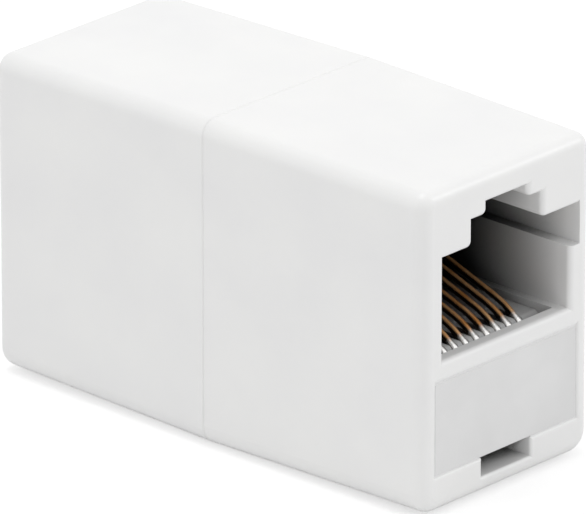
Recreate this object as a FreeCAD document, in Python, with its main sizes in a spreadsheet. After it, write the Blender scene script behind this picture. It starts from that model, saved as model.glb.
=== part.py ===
import FreeCAD, Part
import math
import os
import re
import Sketcher

# An inline coupler for 8-position modular plugs. Two identical white mouldings meet at a seam
# in the middle and snap together. Each holds a contact carrier with eight bent spring wires,
# and the sixteen wires are soldered into one small circuit board that stands in the seam.
#
# X runs along the coupler and the front half lies on +X. Every half is drawn in its own frame,
# with X = 0 at the seam and Z = 0 at the bottom of its end face. Its placement lifts it by the
# draft, so that the fat middle of the finished coupler stands on Z = 0.

SIZES = {
    # outer skin of one half
    "half_length": 18.7,        # from the seam to the end face
    "bottom_wall": 2.5,         # under the chamber
    "side_wall": 1.25,          # beside the chamber, at the end face
    "top_wall": 2.0,            # over the latch slot
    "draft": 0.26,              # each side grows by this much from the end to the seam
    "outer_round": 1.1,         # the upper long edges
    "foot_round": 1.5,          # the lower long edges
    "end_round": 0.95,          # the edges of the end face
    "seam_bevel": 0.09,         # fine bevel along the seam
    "rim_round": 0.4,           # the rim of the plug opening
    "window_round": 0.2,        # the rim of the window and of the notch under it
    "tooth_round": 0.45,        # the corners that stick into the plug opening
    # plug opening, keyed on one side
    "plug_width": 12.0,
    "plug_height": 7.0,
    "key_reach": 0.85,          # the key slot goes this far into the side wall
    "key_height": 2.75,
    "key_length": 12.0,
    "latch_width": 6.6,         # for the shoulders of the plug's latch
    "latch_height": 1.8,
    "lever_width": 3.85,        # for the latch's narrow lever
    "lever_height": 0.85,
    "latch_wall": 1.5,          # the two teeth that the latch snaps behind
    "latch_length": 9.5,
    # lower window and chamber for the contact carrier
    "chamber_step": 0.75,       # the chamber is wider than the plug opening by this on each side
    "window_height": 6.4,
    "crossbar_height": 1.35,
    "crossbar_depth": 1.0,
    "rail_width": 0.6,          # the two rails that hold the carrier down
    "notch_width": 4.66,
    "notch_height": 1.3,
    "notch_length": 4.0,
    # joint of the two halves
    "tongue_width": 0.6,
    "tongue_inset": 0.85,       # from the side wall of the plug opening to the tongue
    "tongue_lift": 0.65,        # over the rails
    "tongue_height": 5.4,
    "tongue_length": 3.0,
    "root": 1.0,                # how far the tongue and the pin reach into their own half
    "barb_height": 0.22,
    "barb_length": 0.9,
    "pin_size": 1.6,
    "pin_length": 2.0,
    "pin_inset": 0.6,           # from the side wall of the plug opening
    "pin_lift": 2.25,           # over the ceiling of the plug opening
    "joint_play": 0.1,
    "overcut": 0.5,             # how far a cut reaches into space that is already open
    # circuit board
    "board_thickness": 1.2,
    "board_play": 0.1,
    # contact carrier
    "carrier_play": 0.03,
    "panel_recess": 0.1,
    "panel_depth": 1.05,
    "panel_bevel": 0.08,
    "comb_front": 2.1,          # end face to the noses of the comb
    "comb_drop": 0.5,           # from the crossbar's top to the comb
    "comb_slot_depth": 0.85,
    "comb_slot_length": 2.5,
    "nose_round": 0.4,
    "trench_margin": 0.3,
    "tower_front": 12.3,        # end face to the tower that stops the plug
    "tower_slot_depth": 1.3,
    "tower_slot_below": 1.05,   # room under a wire's free end
    "tower_slot_above": 1.45,
    "relief_depth": 0.9,
    # spring contacts and solder
    "pitch": 1.02,
    "wire_size": 0.45,
    "wire_play": 0.075,         # round each wire in its slot or hole
    "free_reach": 0.5,          # from the tower's front to the wire's free end
    "free_level": 13.75,
    "knee": 3.6,                # end face to where the upper run steepens
    "knee_level": 10.45,
    "knee_radius": 6.0,
    "bend_corner": 0.25,        # end face to where the upper and lower runs would cross
    "bend_radius": 0.75,
    "run_level": 8.25,
    "step_place": 15.1,
    "step_drop": 2.04,
    "step_radius": 0.55,
    "tail_length": 0.75,        # past the board
    "solder_base": 0.95,
    "solder_tip": 0.55,
    "solder_height": 0.6,
}

# Places worked out from the sizes. Levels are heights over the bottom of the end face, and a
# side is half a width.
WINDOW_TOP = "(bottom_wall + window_height)"
PLUG_FLOOR = f"({WINDOW_TOP} + crossbar_height)"
PLUG_CEILING = f"({PLUG_FLOOR} + plug_height)"
LATCH_STEP = f"({PLUG_CEILING} + latch_height)"
LATCH_CEILING = f"({LATCH_STEP} + lever_height)"
PLUG_SIDE = "(plug_width / 2)"
CHAMBER_SIDE = "(plug_width / 2 + chamber_step)"
RAIL_SIDE = "(plug_width / 2 - rail_width)"
SLOT = "(wire_size + wire_play * 2)"
COMB_LEVEL = f"({PLUG_FLOOR} - comb_drop)"
SLOPE = "atan((knee_level - run_level) / (knee - bend_corner))"
BEND_CENTRE = f"(bend_corner + bend_radius / tan({SLOPE} / 2))"

CONTACTS = 8

doc = FreeCAD.newDocument("InlineCoupler")
sheet = doc.addObject("Spreadsheet::Sheet", "Sizes")
for row, (name, number) in enumerate(SIZES.items(), start=1):
    sheet.set(f"A{row}", name)
    sheet.set(f"B{row}", str(number))
    sheet.setAlias(f"B{row}", name)
doc.recompute()


def from_sheet(formula):
    """The formula with each size written as a cell of the sheet."""
    return re.sub(r"[a-z_]+", lambda word: "Sizes." + word[0] if word[0] in SIZES else word[0], formula)


def value(formula):
    return float(sheet.evalExpression(from_sheet(formula)))


def bind(thing, path, formula):
    thing.setExpression(path, from_sheet(formula))


def new_body(label, turned=False):
    """A sub-part, lifted by the draft and, for the rear half, turned to face the other way."""
    body = doc.addObject("PartDesign::Body", label)
    body.Label = label
    turn = FreeCAD.Rotation(FreeCAD.Vector(0, 0, 1), 180 if turned else 0)
    body.Placement = FreeCAD.Placement(FreeCAD.Vector(0, 0, 0), turn)
    bind(body, "Placement.Base.z", "draft")
    return body


def origin_part(body, role):
    return next(item for item in body.Origin.OriginFeatures if item.Role == role)


def new_sketch(body, name, plane, offset):
    sketch = body.newObject("Sketcher::SketchObject", name)
    sketch.AttachmentSupport = (origin_part(body, plane), [""])
    sketch.MapMode = "FlatFace"
    bind(sketch, "AttachmentOffset.Base.z", offset)
    return sketch


def constrain(sketch, formula, *details):
    number = sketch.addConstraint(Sketcher.Constraint(*details, value(formula)))
    sketch.setExpression(f"Constraints[{number}]", from_sheet(formula))


def hold_point(sketch, geometry, end, corner):
    constrain(sketch, corner[0], "DistanceX", -1, 1, geometry, end)
    constrain(sketch, corner[1], "DistanceY", -1, 1, geometry, end)


def sketch_point(corner):
    return FreeCAD.Vector(value(corner[0]), value(corner[1]), 0)


def draw_outline(sketch, corners):
    """A closed polygon whose corners are pairs of formulas."""
    first = sketch.GeometryCount
    points = [sketch_point(corner) for corner in corners]
    for start, end in zip(points, points[1:] + points[:1]):
        sketch.addGeometry(Part.LineSegment(start, end), False)
    for index, corner in enumerate(corners):
        following = first + (index + 1) % len(corners)
        sketch.addConstraint(Sketcher.Constraint("Coincident", first + index, 2, following, 1))
        hold_point(sketch, first + index, 1, corner)


def draw_circle(sketch, centre, diameter):
    circle = Part.Circle(sketch_point(centre), FreeCAD.Vector(0, 0, 1), value(diameter) / 2)
    geometry = sketch.addGeometry(circle, False)
    hold_point(sketch, geometry, 3, centre)
    constrain(sketch, diameter, "Diameter", geometry)


def draw_bent_line(sketch, corners, radii):
    """An open run of lines through the corners, each inner corner bent to its radius."""
    points = [sketch_point(corner) for corner in corners]
    entries, exits, centres, turns = [points[0]], [], [], []
    for before, here, after, radius in zip(points, points[1:], points[2:], radii):
        back = (before - here).normalize()
        ahead = (after - here).normalize()
        half_angle = back.getAngle(ahead) / 2
        reach = value(radius) / math.tan(half_angle)
        exits.append(here + back * reach)
        entries.append(here + ahead * reach)
        centres.append(here + (back + ahead).normalize() * (value(radius) / math.sin(half_angle)))
        turns.append(1 if back.cross(ahead).z < 0 else -1)
    exits.append(points[-1])
    lines = [sketch.addGeometry(Part.LineSegment(start, end), False) for start, end in zip(entries, exits)]
    hold_point(sketch, lines[0], 1, corners[0])
    hold_point(sketch, lines[-1], 2, corners[-1])
    for index, (radius, centre, turn) in enumerate(zip(radii, centres, turns)):
        ends = (exits[index], entries[index + 1])
        start, end = ends if turn > 0 else ends[::-1]
        circle = Part.Circle(centre, FreeCAD.Vector(0, 0, 1), value(radius))
        angles = [math.atan2(point.y - centre.y, point.x - centre.x) for point in (start, end)]
        arc = sketch.addGeometry(Part.ArcOfCircle(circle, *angles), False)
        arc_in, arc_out = (1, 2) if turn > 0 else (2, 1)
        corner = sketch.addGeometry(Part.Point(points[index + 1]), True)
        sketch.addConstraint(Sketcher.Constraint("Tangent", lines[index], 2, arc, arc_in))
        sketch.addConstraint(Sketcher.Constraint("Tangent", arc, arc_out, lines[index + 1], 1))
        sketch.addConstraint(Sketcher.Constraint("PointOnObject", corner, 1, lines[index]))
        sketch.addConstraint(Sketcher.Constraint("PointOnObject", corner, 1, lines[index + 1]))
        hold_point(sketch, corner, 1, corners[index + 1])
        constrain(sketch, radius, "Radius", arc)


def box_outline(left, right, bottom, top):
    return [(left, bottom), (right, bottom), (right, top), (left, top)]


def mirrored(right_side):
    """The corners of the right half, listed upwards, and their mirror images."""
    return right_side + [(f"-({side})", level) for side, level in reversed(right_side)]


def extrude(body, kind, name, plane, start, length, outlines, forward=True, symmetric=False):
    """A pad or pocket from a sketch on the plane, checked to add or remove material."""
    sketch = new_sketch(body, name + "Sketch", plane, start)
    for outline in outlines:
        draw_outline(sketch, outline)
    return finish_extrude(body, kind, name, sketch, length, forward, symmetric)


def finish_extrude(body, kind, name, sketch, length, forward=True, symmetric=False):
    doc.recompute()
    before = body.Shape.Volume if body.Tip else 0
    feature = body.newObject("PartDesign::" + kind, name)
    feature.Profile = sketch
    feature.SideType = "Symmetric" if symmetric else "One side"
    feature.Reversed = forward == (kind == "Pocket")
    bind(feature, "Length", length)
    doc.recompute()
    check_change(feature.Shape.Volume - before, kind, name, body)
    return feature


def check_change(change, kind, name, body):
    if change * (-1 if kind == "Pocket" else 1) <= 0:
        raise ValueError(f"{body.Label}: {name} changes nothing")


def named_faces(feature):
    return [(f"Face{number}", face) for number, face in enumerate(feature.Shape.Faces, start=1)]


def middle(edge):
    return edge.valueAt((edge.FirstParameter + edge.LastParameter) / 2)


def edges_where(feature, test):
    """Names of the feature's edges whose two ends and middle all pass the test."""
    names = []
    for number, edge in enumerate(feature.Shape.Edges, start=1):
        if all(test(point) for point in [vertex.Point for vertex in edge.Vertexes] + [middle(edge)]):
            names.append(f"Edge{number}")
    return names


def edges_by_middle(feature, test):
    """Names of the feature's edges whose middle passes the test."""
    edges = enumerate(feature.Shape.Edges, start=1)
    return [f"Edge{number}" for number, edge in edges if test(middle(edge))]


def dress(body, kind, name, base, edges, size_path, formula):
    """A fillet or chamfer on the named edges."""
    feature = body.newObject("PartDesign::" + kind, name)
    feature.Base = (base, edges)
    bind(feature, size_path, formula)
    doc.recompute()
    return feature


def near(one, other):
    return abs(one - other) < 1e-4


def repeat_across(body, name, originals, count, spacing):
    """Copies of the features along Y, a spacing apart."""
    pattern = body.newObject("PartDesign::LinearPattern", name)
    pattern.Originals = originals
    pattern.Direction = (origin_part(body, "Y_Axis"), [""])
    pattern.Mode = "Spacing"
    bind(pattern, "Offset", spacing)
    pattern.Occurrences = count
    body.Tip = pattern
    doc.recompute()
    return pattern


# ---- housing ----

def housing_shell(label, turned):
    """One moulded half: drafted skin, keyed plug opening, carrier chamber and snap joint."""
    body = new_body(label, turned)
    drafted_skin(body)
    end = "half_length"
    chamber = mirrored([
        (CHAMBER_SIDE, "bottom_wall"), (CHAMBER_SIDE, WINDOW_TOP), (RAIL_SIDE, WINDOW_TOP),
        (RAIL_SIDE, PLUG_FLOOR), (PLUG_SIDE, PLUG_FLOOR), (PLUG_SIDE, PLUG_CEILING),
    ])
    extrude(body, "Pocket", "Chamber", "YZ_Plane", "0", "half_length - crossbar_depth", [chamber])
    window = mirrored([(CHAMBER_SIDE, "bottom_wall"), (CHAMBER_SIDE, WINDOW_TOP)])
    extrude(body, "Pocket", "Window", "YZ_Plane", end, "crossbar_depth + overcut", [window], forward=False)
    latch, lever = "latch_width / 2", "lever_width / 2"
    opening = mirrored([
        (PLUG_SIDE, PLUG_FLOOR), (PLUG_SIDE, PLUG_CEILING), (latch, PLUG_CEILING),
        (latch, LATCH_STEP), (lever, LATCH_STEP), (lever, LATCH_CEILING),
    ])
    extrude(body, "Pocket", "Opening", "YZ_Plane", end, "latch_wall", [opening], forward=False)
    key_slot = box_outline("0", f"{PLUG_SIDE} + key_reach", f"{PLUG_CEILING} - key_height", PLUG_CEILING)
    extrude(body, "Pocket", "KeySlot", "YZ_Plane", end, "key_length", [key_slot], forward=False)
    channel = mirrored([(latch, f"{PLUG_CEILING} - overcut"), (latch, LATCH_CEILING)])
    extrude(body, "Pocket", "LatchChannel", "YZ_Plane", "half_length - latch_wall",
            "latch_length - latch_wall", [channel], forward=False)
    notch = mirrored([("notch_width / 2", "bottom_wall - notch_height"),
                      ("notch_width / 2", "bottom_wall + overcut")])
    extrude(body, "Pocket", "Notch", "YZ_Plane", end, "notch_length", [notch], forward=False)
    board_pocket = mirrored([(CHAMBER_SIDE, "bottom_wall"), (CHAMBER_SIDE, PLUG_CEILING)])
    extrude(body, "Pocket", "BoardPocket", "YZ_Plane", "0", "board_thickness / 2 + board_play",
            [board_pocket])
    snap_joint(body)
    round_openings(body)
    return body


def drafted_skin(body):
    """A block of the end face's size whose four sides spread towards the seam."""
    side = f"({CHAMBER_SIDE} + side_wall)"
    outline = mirrored([(side, "0"), (side, f"{LATCH_CEILING} + top_wall")])
    block = extrude(body, "Pad", "Block", "YZ_Plane", "0", "half_length", [outline])
    skin = body.newObject("PartDesign::Draft", "Skin")
    skin.Base = (block, [name for name, face in named_faces(block) if near(face.normalAt(0, 0).x, 0)])
    skin.NeutralPlane = (block, [name for name, face in named_faces(block) if face.normalAt(0, 0).x > 0.5])
    doc.recompute()  # the draft takes up its faces here and its angle in the next pass
    bind(skin, "Angle", "atan(draft / half_length)")
    doc.recompute()
    check_change(skin.Shape.Volume - block.Shape.Volume, "Draft", "Skin", body)
    length, top = value("half_length"), value(f"{LATCH_CEILING} + top_wall")
    lower = edges_by_middle(skin, lambda point: 0.1 < point.x < length - 0.1 and point.z < 0)
    rounded = dress(body, "Fillet", "LowerEdges", skin, lower, "Radius", "foot_round")
    upper = edges_by_middle(rounded, lambda point: 0.1 < point.x < length - 0.1 and point.z > top)
    rounded = dress(body, "Fillet", "UpperEdges", rounded, upper, "Radius", "outer_round")
    end = edges_by_middle(rounded, lambda point: near(point.x, length))
    key_wall = "(chamber_step + side_wall - key_reach)"
    end_round = f"min(end_round; {key_wall} * 0.9)"
    rounded = dress(body, "Fillet", "EndEdges", rounded, end, "Radius", end_round)
    seam = edges_by_middle(rounded, lambda point: near(point.x, 0))
    dress(body, "Chamfer", "SeamBevel", rounded, seam, "Size", "seam_bevel")


def snap_joint(body):
    """A barbed tongue on one side wall and its pocket in the other, and a pin with its hole."""
    inner, outer = f"({PLUG_SIDE} + tongue_inset)", f"({PLUG_SIDE} + tongue_inset + tongue_width)"
    tongue_floor = f"({PLUG_FLOOR} + tongue_lift)"
    tongue_top = f"{tongue_floor} + tongue_height"
    tongue = box_outline(inner, outer, tongue_floor, tongue_top)
    extrude(body, "Pad", "Tongue", "YZ_Plane", "-tongue_length", "tongue_length + root", [tongue])
    barb = [("-tongue_length", outer), ("barb_length - tongue_length", outer),
            ("barb_length - tongue_length", outer + " + barb_height")]
    extrude(body, "Pad", "Barb", "XY_Plane", tongue_floor, "tongue_height", [barb])
    pocket = box_outline(f"-({outer} + joint_play)", f"-({inner} - joint_play)",
                         f"{tongue_floor} - joint_play", f"{tongue_top} + joint_play")
    extrude(body, "Pocket", "TonguePocket", "YZ_Plane", "0", "tongue_length + joint_play * 2", [pocket])
    catch = box_outline("tongue_length - barb_length - joint_play", "tongue_length + joint_play * 2",
                        f"-({outer} + barb_height + joint_play)", f"-({outer})")
    extrude(body, "Pocket", "BarbPocket", "XY_Plane", f"{tongue_floor} - joint_play",
            "tongue_height + joint_play * 2", [catch])
    pin = new_sketch(body, "PinSketch", "YZ_Plane", "-pin_length")
    draw_circle(pin, (f"pin_inset - {PLUG_SIDE}", f"{PLUG_CEILING} + pin_lift"), "pin_size")
    finish_extrude(body, "Pad", "Pin", pin, "pin_length + root")
    hole = new_sketch(body, "PinHoleSketch", "YZ_Plane", "0")
    draw_circle(hole, (f"{PLUG_SIDE} - pin_inset", f"{PLUG_CEILING} + pin_lift"), "pin_size + joint_play")
    finish_extrude(body, "Pocket", "PinHole", hole, "pin_length + joint_play * 2")


def round_openings(body):
    """Rounds the teeth beside the latch slot, then every rim in the end face."""
    teeth = [("latch_width / 2", PLUG_CEILING), ("lever_width / 2", LATCH_STEP)]
    places = [(value(side), value(level)) for side, level in teeth]

    def on_tooth(point):
        return any(near(abs(point.y), side) and near(point.z, level) for side, level in places)

    teeth = edges_where(body.Tip, on_tooth)
    rounded = dress(body, "Fillet", "Teeth", body.Tip, teeth, "Radius", "tooth_round")
    opening = end_face_edges(rounded, PLUG_SIDE, WINDOW_TOP, LATCH_CEILING)
    rounded = dress(body, "Fillet", "OpeningRim", rounded, opening, "Radius", "rim_round")
    window = end_face_edges(rounded, CHAMBER_SIDE, "bottom_wall - notch_height", f"{WINDOW_TOP} - rim_round")
    dress(body, "Fillet", "WindowRim", rounded, window, "Radius", "window_round")


def end_face_edges(feature, side, bottom, top):
    """The straight and round edges in the end face whose middles lie within these limits."""
    length, reach = value("half_length"), value(side) + 0.01
    low, high = value(bottom) - 0.01, value(top) + 0.01
    flat = edges_where(feature, lambda point: near(point.x, length))
    within = edges_by_middle(feature, lambda point: abs(point.y) < reach and low < point.z < high)
    return [name for name in flat if name in within]


# ---- contact carrier ----

def contact_carrier(label, turned):
    """The L-shaped insert: panel in the window, comb at the plug floor and tower at the back."""
    body = new_body(label, turned)
    back = "board_thickness / 2"
    base_floor, base_top = "bottom_wall + carrier_play", f"{WINDOW_TOP} - carrier_play"
    base_side, neck = f"({CHAMBER_SIDE} - carrier_play)", f"({RAIL_SIDE} - carrier_play)"
    tower_side, tower_foot = f"({PLUG_SIDE} - carrier_play)", f"{PLUG_FLOOR} + carrier_play"
    tower = mirrored([
        (neck, base_floor), (neck, tower_foot), (tower_side, tower_foot),
        (tower_side, f"{PLUG_CEILING} - carrier_play"),
    ])
    extrude(body, "Pad", "Tower", "YZ_Plane", back, f"half_length - tower_front - {back}", [tower])
    base = mirrored([(base_side, base_floor), (base_side, base_top)])
    panel = extrude(body, "Pad", "Base", "YZ_Plane", back, f"half_length - panel_recess - {back}", [base])
    face = value("half_length - panel_recess")
    panel_edges = edges_where(panel, lambda point: near(point.x, face))
    dress(body, "Chamfer", "PanelBevel", panel, panel_edges, "Size", "panel_bevel")
    comb = mirrored([(neck, base_floor), (neck, COMB_LEVEL)])
    nose = extrude(body, "Pad", "Comb", "YZ_Plane", back, f"half_length - comb_front - {back}", [comb])
    front, level = value("half_length - comb_front"), value(COMB_LEVEL)
    nose_edges = edges_where(nose, lambda point: near(point.x, front) and near(point.z, level))
    dress(body, "Fillet", "CombNose", nose, nose_edges, "Radius", "nose_round")
    trench_side = f"(pitch * {CONTACTS / 2} + trench_margin)"
    trench = mirrored([(trench_side, f"run_level - {SLOT} / 2"), (trench_side, WINDOW_TOP)])
    extrude(body, "Pocket", "Trench", "YZ_Plane", "half_length - panel_recess - panel_depth",
            "comb_front - panel_recess - panel_depth", [trench], forward=False)
    relief = mirrored([(trench_side, "run_level - step_drop - solder_base / 2 - carrier_play"),
                       (trench_side, "run_level + solder_base / 2 + carrier_play")])
    extrude(body, "Pocket", "SolderRelief", "YZ_Plane", back, "relief_depth", [relief])
    wire_slots(body)
    return body


def wire_slots(body):
    """One slot for a wire, from the comb to the board, repeated for the eight contacts."""
    front, web = "half_length - comb_front + carrier_play", f"half_length - {BEND_CENTRE}"
    low, high = f"run_level - {SLOT} / 2", f"run_level + {SLOT} / 2"
    slot_floor, slot_top = f"{COMB_LEVEL} - comb_slot_depth", f"{COMB_LEVEL} + nose_round"
    slot_end = "half_length - comb_front - comb_slot_length"
    step_front = f"half_length - step_place + {SLOT}"
    slot = [
        (front, low), (step_front, low), (step_front, f"{low} - step_drop"), ("0", f"{low} - step_drop"),
        ("0", high), (web, high), (web, slot_floor), (slot_end, slot_floor),
        (f"{slot_end} - nose_round", slot_top), (front, slot_top),
    ]
    rest = box_outline("half_length - tower_front - tower_slot_depth", "half_length - tower_front + overcut",
                       "free_level - tower_slot_below", "free_level + tower_slot_above")
    first_wire = f"pitch * {(CONTACTS - 1) / 2}"
    cut = extrude(body, "Pocket", "WireSlot", "XZ_Plane", first_wire, SLOT, [slot, rest], symmetric=True)
    repeat_across(body, "WireSlots", [cut], CONTACTS, "pitch")


# ---- spring contacts ----

def spring_contact(label, turned, number):
    """One bent wire; every second one steps down to the lower row of holes in the board."""
    body = new_body(label, turned)
    side = f"pitch * {(CONTACTS + 1) / 2 - number}"
    tail = "-(board_thickness / 2 + tail_length)"
    corners = [
        ("half_length - tower_front - free_reach", "free_level"),
        ("half_length - knee", "knee_level"),
        ("half_length - bend_corner", "run_level"),
    ]
    radii = ["knee_radius", "bend_radius"]
    tail_level = tail_row(number)
    if number % 2 == 0:
        corners += [("half_length - step_place", "run_level"), ("half_length - step_place", tail_level)]
        radii += ["step_radius", "step_radius"]
    corners.append((tail, tail_level))
    path = new_sketch(body, "Path", "XZ_Plane", f"-({side})")
    draw_bent_line(path, corners, radii)
    section = new_sketch(body, "Section", "YZ_Plane", tail)
    draw_circle(section, (side, tail_level), "wire_size")
    doc.recompute()
    wire = body.newObject("PartDesign::AdditivePipe", "Wire")
    wire.Profile = section
    wire.Spine = (path, [])
    wire.Mode = "Frenet"
    doc.recompute()
    return body


def tail_row(number):
    return "run_level" if number % 2 else "run_level - step_drop"


# ---- circuit board and solder ----

def circuit_board():
    body = new_body("circuit_board")
    side = f"({CHAMBER_SIDE} - board_play)"
    blank = mirrored([(side, "bottom_wall + board_play"), (side, f"{PLUG_CEILING} - board_play")])
    extrude(body, "Pad", "Blank", "YZ_Plane", "0", "board_thickness", [blank], symmetric=True)
    sketch = new_sketch(body, "HoleSketch", "YZ_Plane", "0")
    first = f"-pitch * {(CONTACTS - 1) / 2}"
    for level in ("run_level", "run_level - step_drop"):
        draw_circle(sketch, (first, level), SLOT)
    holes = finish_extrude(body, "Pocket", "Holes", sketch, "board_thickness + overcut", symmetric=True)
    repeat_across(body, "HoleRows", [holes], CONTACTS, "pitch")
    return body


def solder_joints(label, turned):
    """Eight cones of solder round the tails of one jack, on the far side of the board."""
    body = new_body(label, turned)
    cones = [solder_cone(body, number) for number in (1, 2)]
    pattern = repeat_across(body, "Cones", cones, CONTACTS // 2, "pitch * 2")
    pattern.Reversed = True
    doc.recompute()
    return body


def solder_cone(body, number):
    side = f"pitch * {(CONTACTS + 1) / 2 - number}"
    level = tail_row(number)
    foot, tip = "-board_thickness / 2", "-(board_thickness / 2 + solder_height)"
    profile = [
        (foot, f"{level} + wire_size / 2"), (foot, f"{level} + solder_base / 2"),
        (tip, f"{level} + solder_tip / 2"), (tip, f"{level} + wire_size / 2"),
    ]
    sketch = new_sketch(body, f"ConeSketch{number}", "XZ_Plane", f"-({side})")
    draw_outline(sketch, profile)
    axis = sketch.addGeometry(Part.LineSegment(sketch_point((foot, level)), sketch_point((tip, level))), True)
    hold_point(sketch, axis, 1, (foot, level))
    hold_point(sketch, axis, 2, (tip, level))
    doc.recompute()
    cone = body.newObject("PartDesign::Revolution", f"Cone{number}")
    cone.Profile = sketch
    cone.ReferenceAxis = (sketch, ["Axis0"])
    cone.Angle = 360
    doc.recompute()
    return cone


# ---- the whole coupler ----

parts = []
for end, turned in (("front", False), ("rear", True)):
    parts.append(housing_shell(f"{end}_shell", turned))
    parts.append(contact_carrier(f"{end}_contact_carrier", turned))
    parts.append(solder_joints(f"{end}_solder_joints", turned))
    parts += [spring_contact(f"{end}_contact_{number}", turned, number) for number in range(1, CONTACTS + 1)]
parts.append(circuit_board())
doc.recompute()

for item in doc.Objects:
    if "Invalid" in item.State or "Error" in item.State:
        raise ValueError(f"{item.Label} failed: {item.State}")
for body in parts:
    if body.Shape.isNull() or not body.Shape.isValid():
        raise ValueError(f"{body.Label} has no sound shape")

os.makedirs("parts", exist_ok=True)
for body in parts:
    body.Shape.exportStep(f"parts/{body.Label}.step")
    print(f"{body.Label}: {len(body.Shape.Solids)} solid(s), {body.Shape.Volume:.3f} mm3")
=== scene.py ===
import math
import bmesh
import bpy
from mathutils import Matrix, Vector


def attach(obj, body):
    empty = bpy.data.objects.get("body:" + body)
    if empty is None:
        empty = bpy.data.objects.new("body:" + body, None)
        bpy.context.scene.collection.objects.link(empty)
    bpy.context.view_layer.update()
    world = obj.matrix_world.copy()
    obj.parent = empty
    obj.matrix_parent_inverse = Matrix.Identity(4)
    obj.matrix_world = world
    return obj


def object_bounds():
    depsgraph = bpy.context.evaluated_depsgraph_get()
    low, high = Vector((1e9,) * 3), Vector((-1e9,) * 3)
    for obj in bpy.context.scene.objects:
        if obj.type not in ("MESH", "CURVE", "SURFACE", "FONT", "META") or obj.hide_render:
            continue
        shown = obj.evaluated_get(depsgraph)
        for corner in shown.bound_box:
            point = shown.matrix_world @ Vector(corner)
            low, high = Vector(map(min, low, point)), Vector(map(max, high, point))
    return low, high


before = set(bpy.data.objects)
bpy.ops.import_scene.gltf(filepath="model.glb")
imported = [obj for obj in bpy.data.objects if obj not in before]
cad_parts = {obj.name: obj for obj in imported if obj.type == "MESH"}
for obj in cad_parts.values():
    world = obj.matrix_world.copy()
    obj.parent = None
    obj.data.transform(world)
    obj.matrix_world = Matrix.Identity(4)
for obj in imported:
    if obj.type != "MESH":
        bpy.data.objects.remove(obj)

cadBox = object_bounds()
mm = 0.001


def linearColour(hexText):
    channels = [int(hexText[i:i + 2], 16) / 255 for i in (1, 3, 5)]
    linear = [c / 12.92 if c <= 0.04045 else ((c + 0.055) / 1.055) ** 2.4 for c in channels]
    return linear + [1.0]


def addNode(tree, kind, links=None, **settings):
    # inputs are set by name in a dictionary, everything else is an attribute of the node
    node = tree.nodes.new(kind)
    inputs = settings.pop("inputs", {})
    for name, setting in settings.items():
        setattr(node, name, setting)
    for name, setting in inputs.items():
        node.inputs[name].default_value = setting
    for name, source in (links or {}).items():
        tree.links.new(source, node.inputs[name])
    return node


def newMaterial(name):
    material = bpy.data.materials.new(name)
    material.use_nodes = True
    material.node_tree.nodes.clear()
    return material, material.node_tree


def perMetre(millimetres):
    # scale of a pattern whose features are this far apart
    return 1 / (millimetres * mm)


# the space inside the coupler, in millimetres: half its size along X and Y, its lowest and highest
# Z, and how wide its border is at the ends and walls, over which painted shade sets in. The painted
# light is full down to brightTo under the end and gone at lightEnds, and sight is how far the mouth
# is looked for
insideSpace = {
    "end": 18.65, "side": 7.4, "low": 0.9, "high": 20.7, "endBorder": 0.85, "wallBorder": 0.2,
    "brightTo": 1.0, "lightEnds": 9.8, "sight": 25.0,
}


def paintedCavityShade(tree, place, look):
    # painted shade, which darkens the colour where shade would fall: 0 on the outside, nearing 1
    # deep inside and where little of an opening's mouth is in sight
    half = (insideSpace["high"] - insideSpace["low"]) / 2
    middle = (0, 0, (insideSpace["low"] + half) * mm)
    size = Vector((insideSpace["end"], insideSpace["side"], half))
    border = Vector([insideSpace[name] for name in ("endBorder", "wallBorder", "wallBorder")])
    centred = addNode(tree, "ShaderNodeVectorMath", {0: place}, operation="SUBTRACT",
                      inputs={1: middle})
    unsigned = addNode(tree, "ShaderNodeVectorMath", {0: centred.outputs["Vector"]},
                       operation="ABSOLUTE").outputs["Vector"]
    within = addNode(tree, "ShaderNodeMapRange", {6: unsigned}, data_type="FLOAT_VECTOR",
                     inputs={7: size * mm, 8: (size - border) * mm, 9: (0, 0, 0), 10: (1, 1, 1)})
    axes = addNode(tree, "ShaderNodeSeparateXYZ", {"Vector": within.outputs["Vector"]}).outputs
    across = addNode(tree, "ShaderNodeMath", {0: axes["X"], 1: axes["Y"]}, operation="MULTIPLY")
    inside = addNode(tree, "ShaderNodeMath", {0: across.outputs["Value"], 1: axes["Z"]},
                     operation="MULTIPLY")

    mouth = addNode(tree, "ShaderNodeAmbientOcclusion", samples=8,
                    inputs={"Distance": insideSpace["sight"] * mm})
    lit = addNode(tree, "ShaderNodeMapRange", {"Value": mouth.outputs["AO"]},
                  inputs={"From Max": look["openTo"]})
    along = addNode(tree, "ShaderNodeSeparateXYZ", {"Vector": unsigned})
    shallow = addNode(tree, "ShaderNodeMapRange", {"Value": along.outputs["X"]},
                      inputs={"From Min": (insideSpace["end"] - insideSpace["lightEnds"]) * mm,
                              "From Max": (insideSpace["end"] - insideSpace["brightTo"]) * mm})
    reached = addNode(tree, "ShaderNodeMath",
                      {0: lit.outputs["Result"], 1: shallow.outputs["Result"]},
                      operation="MULTIPLY")
    light = addNode(tree, "ShaderNodeMath", {0: reached.outputs["Value"]}, operation="POWER",
                    inputs={1: look["falloff"]})
    dark = addNode(tree, "ShaderNodeMath", {1: light.outputs["Value"]}, operation="SUBTRACT",
                   inputs={0: 1.0})
    return addNode(tree, "ShaderNodeMath", {0: dark.outputs["Value"], 1: inside.outputs["Value"]},
                   operation="MULTIPLY").outputs["Value"]


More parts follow.
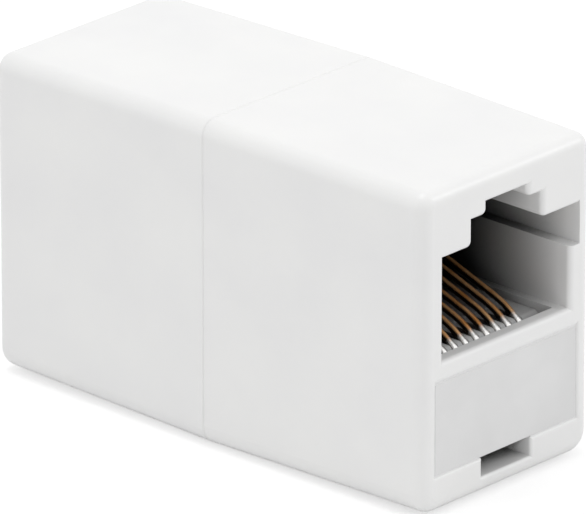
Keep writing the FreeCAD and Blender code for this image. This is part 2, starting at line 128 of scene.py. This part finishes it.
# ABS, injection moulded in a fine spark-eroded tool: satin, a little light gets under the skin.
# The spacing and depth of grain and sink marks and the reach of the glow are in millimetres
# its darkest colour, openTo and falloff are painted shade: deep inside the openings the colour
# darkens to near black
whiteAbs = {
    "colour": "#f6f6f5", "shade": "#f2f2f2", "paintedShadeColour": "#0a0a0a", "ior": 1.54,
    "smoothest": 0.32, "roughest": 0.41, "grain": 0.12, "grainDepth": 0.0012,
    "sink": 7.0, "sinkDepth": 0.010, "glow": 0.06, "glowReach": (0.54, 0.54, 0.51),
    "openTo": 0.11, "falloff": 1.35,
}

# PBT of the contact carrier, injection moulded in a coarser tool: pale grey, flatter than the ABS
# its darkest colour, openTo and falloff are painted shade deep inside the openings, as for the ABS
greyPbt = {
    "colour": "#e8e8e8", "shade": "#e2e2e2", "paintedShadeColour": "#060606", "ior": 1.55,
    "smoothest": 0.46, "roughest": 0.55, "grain": 0.16, "grainDepth": 0.002,
    "sink": 4.0, "sinkDepth": 0.006, "glow": 0.03, "glowReach": (0.54, 0.54, 0.51),
    "openTo": 0.11, "falloff": 0.85,
}

noiseSpan = {"From Min": 0.3, "From Max": 0.7}  # nearly all of a noise lies between these


def mouldedPlastic(name, look):
    material, tree = newMaterial(name)
    place = addNode(tree, "ShaderNodeTexCoord").outputs["Object"]
    flow = addNode(tree, "ShaderNodeTexNoise", {"Vector": place},
                   inputs={"Scale": perMetre(look["sink"]), "Detail": 3.0, "Roughness": 0.5})
    grain = addNode(tree, "ShaderNodeTexNoise", {"Vector": place},
                    inputs={"Scale": perMetre(look["grain"]), "Detail": 2.0, "Roughness": 0.6})
    streak = addNode(tree, "ShaderNodeMapRange", {"Value": flow.outputs["Fac"]}, inputs=noiseSpan)
    skin = addNode(tree, "ShaderNodeMix", {0: streak.outputs["Result"]}, data_type="RGBA",
                   inputs={6: linearColour(look["shade"]), 7: linearColour(look["colour"])})
    # painted shade: deep inside the openings the colour is mixed towards a near-black shade colour
    colour = addNode(tree, "ShaderNodeMix",
                     {0: paintedCavityShade(tree, place, look), 6: skin.outputs[2]},
                     data_type="RGBA", inputs={7: linearColour(look["paintedShadeColour"])})
    rough = addNode(tree, "ShaderNodeMapRange", {"Value": grain.outputs["Fac"]},
                    inputs={**noiseSpan, "To Min": look["smoothest"], "To Max": look["roughest"]})
    wave = addNode(tree, "ShaderNodeBump", {"Height": flow.outputs["Fac"]},
                   inputs={"Strength": 1.0, "Distance": look["sinkDepth"] * mm})
    bump = addNode(tree, "ShaderNodeBump",
                   {"Height": grain.outputs["Fac"], "Normal": wave.outputs["Normal"]},
                   inputs={"Strength": 1.0, "Distance": look["grainDepth"] * mm})
    shader = addNode(tree, "ShaderNodeBsdfPrincipled",
                     {"Base Color": colour.outputs[2], "Roughness": rough.outputs["Result"],
                      "Normal": bump.outputs["Normal"]},
                     inputs={"IOR": look["ior"], "Subsurface Weight": look["glow"],
                             "Subsurface Radius": look["glowReach"], "Subsurface Scale": mm})
    addNode(tree, "ShaderNodeOutputMaterial", {"Surface": shader.outputs["BSDF"]})
    return material


# phosphor bronze spring wire, drawn through a die: fine lines along it, wider than real ones so
# that they show, with painted shade making it near black on its sides and underside and leaving its
# top lit, and bright plating on the bend at its front. Lines, patches and the plating's distance
# from the seam are in millimetres, the painted shade goes by how far a face looks up, and its
# darkest colour, openTo and falloff are painted shade deep inside the opening
bronzeWire = {
    "bright": "#fbc58c", "dull": "#e39c58", "paintedSideShade": "#0e0a07", "paintedShadeColour": "#38230f",
    "plating": "#fefdfb", "platedFrom": 15.95, "platedTo": 16.3, "paintedLitFrom": 0.48, "paintedLitTo": 0.86,
    "metallic": 0.6, "smoothest": 0.14, "roughest": 0.30, "lineWidth": 0.05, "lineLength": 1.25,
    "lineDepth": 0.001, "patch": 1.6, "patchFrom": 0.35, "patchTo": 0.62,
    "openTo": 0.12, "falloff": 0.3,
}


def drawnWire(name, look):
    material, tree = newMaterial(name)
    coordinates = addNode(tree, "ShaderNodeTexCoord").outputs
    place = coordinates["Object"]
    stretched = addNode(tree, "ShaderNodeMapping", {"Vector": place},
                        inputs={"Scale": (look["lineWidth"] / look["lineLength"], 1.0, 1.0)})
    lines = addNode(tree, "ShaderNodeTexNoise", {"Vector": stretched.outputs["Vector"]},
                    inputs={"Scale": perMetre(look["lineWidth"]), "Detail": 2.0})
    patch = addNode(tree, "ShaderNodeTexNoise", {"Vector": place},
                    inputs={"Scale": perMetre(look["patch"]), "Detail": 3.0})
    polish = addNode(tree, "ShaderNodeMapRange", {"Value": patch.outputs["Fac"]},
                     inputs={"From Min": look["patchFrom"], "From Max": look["patchTo"]})
    bronze = addNode(tree, "ShaderNodeMix", {0: polish.outputs["Result"]}, data_type="RGBA",
                     inputs={6: linearColour(look["dull"]), 7: linearColour(look["bright"])})

    # painted shade: faces that look sideways or down are darkened to near black, and faces that look
    # up keep the lit bronze
    facing = addNode(tree, "ShaderNodeSeparateXYZ", {"Vector": coordinates["Normal"]})
    paintedTopLight = addNode(tree, "ShaderNodeMapRange", {"Value": facing.outputs["Z"]},
                     inputs={"From Min": look["paintedLitFrom"], "From Max": look["paintedLitTo"]})
    sideShadedBronze = addNode(tree, "ShaderNodeMix", {0: paintedTopLight.outputs["Result"], 7: bronze.outputs[2]},
                   data_type="RGBA", inputs={6: linearColour(look["paintedSideShade"])})

    along = addNode(tree, "ShaderNodeSeparateXYZ", {"Vector": place})
    fromSeam = addNode(tree, "ShaderNodeMath", {0: along.outputs["X"]}, operation="ABSOLUTE")
    plated = addNode(tree, "ShaderNodeMapRange", {"Value": fromSeam.outputs["Value"]},
                     inputs={"From Min": look["platedFrom"] * mm,
                             "From Max": look["platedTo"] * mm})
    metal = addNode(tree, "ShaderNodeMix", {0: plated.outputs["Result"], 6: sideShadedBronze.outputs[2]},
                    data_type="RGBA", inputs={7: linearColour(look["plating"])})
    # painted shade: deep inside the opening the wire's colour is mixed towards a dark shade colour
    colour = addNode(tree, "ShaderNodeMix",
                     {0: paintedCavityShade(tree, place, look), 6: metal.outputs[2]},
                     data_type="RGBA", inputs={7: linearColour(look["paintedShadeColour"])})
    metallic = addNode(tree, "ShaderNodeMapRange", {"Value": plated.outputs["Result"]},
                       inputs={"To Min": look["metallic"]})
    rough = addNode(tree, "ShaderNodeMapRange", {"Value": lines.outputs["Fac"]},
                    inputs={"To Min": look["smoothest"], "To Max": look["roughest"]})
    bump = addNode(tree, "ShaderNodeBump", {"Height": lines.outputs["Fac"]},
                   inputs={"Strength": 1.0, "Distance": look["lineDepth"] * mm})
    shader = addNode(tree, "ShaderNodeBsdfPrincipled",
                     {"Base Color": colour.outputs[2], "Roughness": rough.outputs["Result"],
                      "Normal": bump.outputs["Normal"], "Metallic": metallic.outputs["Result"]})
    addNode(tree, "ShaderNodeOutputMaterial", {"Surface": shader.outputs["BSDF"]})
    return material


# FR4 glass-epoxy board under green solder resist: glossy, with the weave just showing
resistBoard = {
    "mask": "#1d5a33", "weave": "#2a6e42", "thread": 0.5, "threadDepth": 0.01, "relief": 0.5,
    "waver": 0.4, "roughness": 0.3, "ior": 1.5,
}
bandsPerMetre = 20 / (2 * math.pi)  # what a wave texture draws at a scale of 1


def laminateBoard(name, look):
    material, tree = newMaterial(name)
    place = addNode(tree, "ShaderNodeTexCoord").outputs["Object"]
    scale = perMetre(look["thread"]) / bandsPerMetre
    warp, weft = (
        addNode(tree, "ShaderNodeTexWave", {"Vector": place}, wave_type="BANDS",
                bands_direction=axis,
                inputs={"Scale": scale, "Distortion": look["waver"]}).outputs["Fac"]
        for axis in ("Y", "Z")
    )
    weave = addNode(tree, "ShaderNodeMath", {0: warp, 1: weft}, operation="MULTIPLY")
    colour = addNode(tree, "ShaderNodeMix", {0: weave.outputs["Value"]}, data_type="RGBA",
                     inputs={6: linearColour(look["mask"]), 7: linearColour(look["weave"])})
    bump = addNode(tree, "ShaderNodeBump", {"Height": weave.outputs["Value"]},
                   inputs={"Strength": look["relief"], "Distance": look["threadDepth"] * mm})
    shader = addNode(tree, "ShaderNodeBsdfPrincipled",
                     {"Base Color": colour.outputs[2], "Normal": bump.outputs["Normal"]},
                     inputs={"Roughness": look["roughness"], "IOR": look["ior"]})
    addNode(tree, "ShaderNodeOutputMaterial", {"Surface": shader.outputs["BSDF"]})
    return material


# tin solder, wave soldered: bright, slightly frosted where it froze
waveSolder = {
    "bright": "#c9cbce", "frost": "#a9acb0", "crystal": 0.15, "frostFrom": 0.3, "frostTo": 0.6,
    "smoothest": 0.20, "roughest": 0.45,
}


def tinSolder(name, look):
    material, tree = newMaterial(name)
    place = addNode(tree, "ShaderNodeTexCoord").outputs["Object"]
    crystal = addNode(tree, "ShaderNodeTexNoise", {"Vector": place},
                      inputs={"Scale": perMetre(look["crystal"]), "Detail": 2.0})
    frost = addNode(tree, "ShaderNodeMapRange", {"Value": crystal.outputs["Fac"]},
                    inputs={"From Min": look["frostFrom"], "From Max": look["frostTo"]})
    colour = addNode(tree, "ShaderNodeMix", {0: frost.outputs["Result"]}, data_type="RGBA",
                     inputs={6: linearColour(look["frost"]), 7: linearColour(look["bright"])})
    rough = addNode(tree, "ShaderNodeMapRange", {"Value": crystal.outputs["Fac"]},
                    inputs={"To Min": look["roughest"], "To Max": look["smoothest"]})
    shader = addNode(tree, "ShaderNodeBsdfPrincipled",
                     {"Base Color": colour.outputs[2], "Roughness": rough.outputs["Result"]},
                     inputs={"Metallic": 1.0})
    addNode(tree, "ShaderNodeOutputMaterial", {"Surface": shader.outputs["BSDF"]})
    return material


def dressNodes():
    materials = {
        "shell": mouldedPlastic("moulded_white_abs", whiteAbs),
        "carrier": mouldedPlastic("moulded_grey_pbt", greyPbt),
        "joints": tinSolder("tin_solder", waveSolder),
        "board": laminateBoard("fr4_laminate", resistBoard),
        "contact": drawnWire("phosphor_bronze_wire", bronzeWire),
    }
    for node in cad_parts:
        kind = next(word for word in materials if word in node)  # a contact carrier is a carrier
        piece = bpy.data.objects[node]
        piece.data.materials.clear()
        piece.data.materials.append(materials[kind])
    print("dressed", len(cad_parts), "nodes")


# a fine bead of adhesive closes the joint round the insert's panel, and is open at the notch. The
# joint is given in millimetres by half its width, the heights of its floor and top and half the
# notch's width. Each row of the bead is how far it lies outside the joint at the sides and floor,
# how far at the top, and how deep under the end face
panelBead = {
    "side": 6.735, "floor": 2.775, "top": 9.145, "notch": 2.45,
    "rows": [(-0.062, -0.062, 0.135), (-0.018, -0.018, 0.155), (0.03, 0.135, 0.13),
             (0.015, 0.02, 0.22), (-0.015, -0.015, 0.22)],
}
# it set smooth in the open, so it is a little glossier than the housing, and a touch greyer
# it takes the ABS's painted shade deep inside the openings
adhesive = {
    **whiteAbs, "colour": "#eeeeee", "shade": "#ebebeb", "smoothest": 0.26, "roughest": 0.35,
}


def addPanelBeads():
    side, floor, top, notch = (panelBead[name] for name in ("side", "floor", "top", "notch"))
    cured = mouldedPlastic("cured_adhesive", adhesive)
    for end, turn in (("front", 1), ("rear", -1)):
        mesh = bmesh.new()
        rows = []
        for out, outTop, depth in panelBead["rows"]:
            across, low, high = side + out, floor - out, top + outTop
            outline = [(-notch, low), (-across, low), (-across, high),
                       (across, high), (across, low), (notch, low)]
            x = cadBox[1][0] - depth * mm
            corners = [mesh.verts.new((turn * x, turn * y * mm, z * mm)) for y, z in outline]
            rows.append([mesh.edges.new(pair) for pair in zip(corners, corners[1:])])
        for row, following in zip(rows, rows[1:] + rows[:1]):
            bmesh.ops.bridge_loops(mesh, edges=row + following)
        bmesh.ops.holes_fill(mesh, edges=[edge for edge in mesh.edges if edge.is_boundary])
        bmesh.ops.recalc_face_normals(mesh, faces=mesh.faces)
        data = bpy.data.meshes.new(f"{end}_panel_bead")
        mesh.to_mesh(data)
        mesh.free()
        data.materials.append(cured)
        bead = bpy.data.objects.new(f"{end}_panel_bead", data)
        bpy.context.collection.objects.link(bead)
        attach(bead, "root")
    print("panel beads added")


# a white room with a paper floor, floorSize metres wide. The camera sees both nearly white, and
# the room's light on the coupler is dimmer than that
studio = {
    "floorSize": 6.0, "paper": "#f4f4f4", "seenPaper": "#bcbcbc", "seenLift": 0.6,
    "white": "#ffffff", "roomStrength": 0.7,
}

# soft boxes: the way to each from the coupler, how far, how wide (m) and how strong (W)
softBoxes = {
    "overheadBox": {"way": (-0.12, -0.12, 1.0), "distance": 0.9, "size": 0.5, "power": 2.3},
    "frontBox": {"way": (0.57, 0.71, 0.42), "distance": 0.9, "size": 0.22, "power": 0.92},
}


def buildRoom():
    world = bpy.data.worlds.new("paleStudio")
    bpy.context.scene.world = world
    world.use_nodes = True
    tree = world.node_tree
    tree.nodes.clear()
    white = linearColour(studio["white"])
    ray = addNode(tree, "ShaderNodeLightPath").outputs
    mirrored = addNode(tree, "ShaderNodeMath",
                       {0: ray["Is Glossy Ray"], 1: ray["Is Transmission Ray"]},
                       operation="MAXIMUM")
    direct = addNode(tree, "ShaderNodeMath",
                     {0: ray["Is Camera Ray"], 1: mirrored.outputs["Value"]}, operation="MAXIMUM")
    ambient = addNode(tree, "ShaderNodeBackground",
                      inputs={"Color": white, "Strength": studio["roomStrength"]})
    seen = addNode(tree, "ShaderNodeBackground", inputs={"Color": white, "Strength": 1.0})
    mix = addNode(tree, "ShaderNodeMixShader",
                  {0: direct.outputs["Value"], 1: ambient.outputs["Background"],
                   2: seen.outputs["Background"]})
    addNode(tree, "ShaderNodeOutputWorld", {"Surface": mix.outputs["Shader"]})


def floorMaterial():
    # the camera sees a nearly white sheet that keeps a faint shadow
    material, tree = newMaterial("white_paper_sweep")
    ray = addNode(tree, "ShaderNodeLightPath").outputs
    paper = addNode(tree, "ShaderNodeBsdfDiffuse",
                    inputs={"Color": linearColour(studio["paper"])})
    seenPaper = addNode(tree, "ShaderNodeBsdfDiffuse",
                        inputs={"Color": linearColour(studio["seenPaper"])})
    lift = addNode(tree, "ShaderNodeEmission",
                   inputs={"Color": linearColour(studio["white"]),
                           "Strength": studio["seenLift"]})
    seen = addNode(tree, "ShaderNodeAddShader",
                   {0: seenPaper.outputs["BSDF"], 1: lift.outputs["Emission"]})
    mix = addNode(tree, "ShaderNodeMixShader",
                  {0: ray["Is Camera Ray"], 1: paper.outputs["BSDF"], 2: seen.outputs["Shader"]})
    addNode(tree, "ShaderNodeOutputMaterial", {"Surface": mix.outputs["Shader"]})
    return material


def buildStudio():
    buildRoom()
    low, high = (Vector(corner) for corner in cadBox)
    centre = (low + high) / 2
    bpy.ops.mesh.primitive_plane_add(size=studio["floorSize"],
                                     location=(centre.x, centre.y, low.z))
    floor = bpy.context.object
    floor.name = "studioFloor"
    floor.data.materials.append(floorMaterial())
    for name, box in softBoxes.items():
        lampData = bpy.data.lights.new(name, "AREA")
        lampData.size = box["size"]
        lampData.energy = box["power"]
        lamp = bpy.data.objects.new(name, lampData)
        bpy.context.collection.objects.link(lamp)
        way = Vector(box["way"]).normalized()
        lamp.location = centre + way * box["distance"]
        lamp.rotation_euler = way.to_track_quat("Z", "Y").to_euler()
    print("studio ready")


# angles in degrees, lengths in millimetres but for the clips, in metres. The camera is placed
# from the coupler's middle, at the height of its end faces' lower edges: endLift over the floor
cameraView = {
    "azimuth": 42.705, "elevation": 22.048, "distance": 775.7, "shiftRight": 0.16,
    "shiftUp": 9.70, "endLift": 0.26, "sensor": 36.0, "focal": 737.2, "clips": (0.05, 20.0),
}


def placeCamera():
    azimuth = math.radians(cameraView["azimuth"])
    elevation = math.radians(cameraView["elevation"])
    back = Vector((math.sin(azimuth) * math.cos(elevation),
                   -math.cos(azimuth) * math.cos(elevation), math.sin(elevation)))
    right = Vector((math.cos(azimuth), math.sin(azimuth), 0))
    up = back.cross(right)
    low, high = (Vector(corner) for corner in cadBox)
    foot = Vector(((low.x + high.x) / 2, (low.y + high.y) / 2,
                   low.z + cameraView["endLift"] * mm))
    offset = (back * cameraView["distance"] + right * cameraView["shiftRight"]
              + up * cameraView["shiftUp"]) * mm
    cameraData = bpy.data.cameras.new("productCamera")
    cameraData.sensor_width = cameraView["sensor"]
    cameraData.lens = cameraView["focal"]
    cameraData.clip_start, cameraData.clip_end = cameraView["clips"]
    camera = bpy.data.objects.new("productCamera", cameraData)
    bpy.context.collection.objects.link(camera)
    axes = Matrix((right, up, back)).transposed().to_4x4()
    camera.matrix_world = Matrix.Translation(foot + offset) @ axes
    bpy.context.scene.camera = camera
    print("camera placed")


bpy.context.scene.view_settings.view_transform = "Standard"
dressNodes()
addPanelBeads()
buildStudio()
placeCamera()
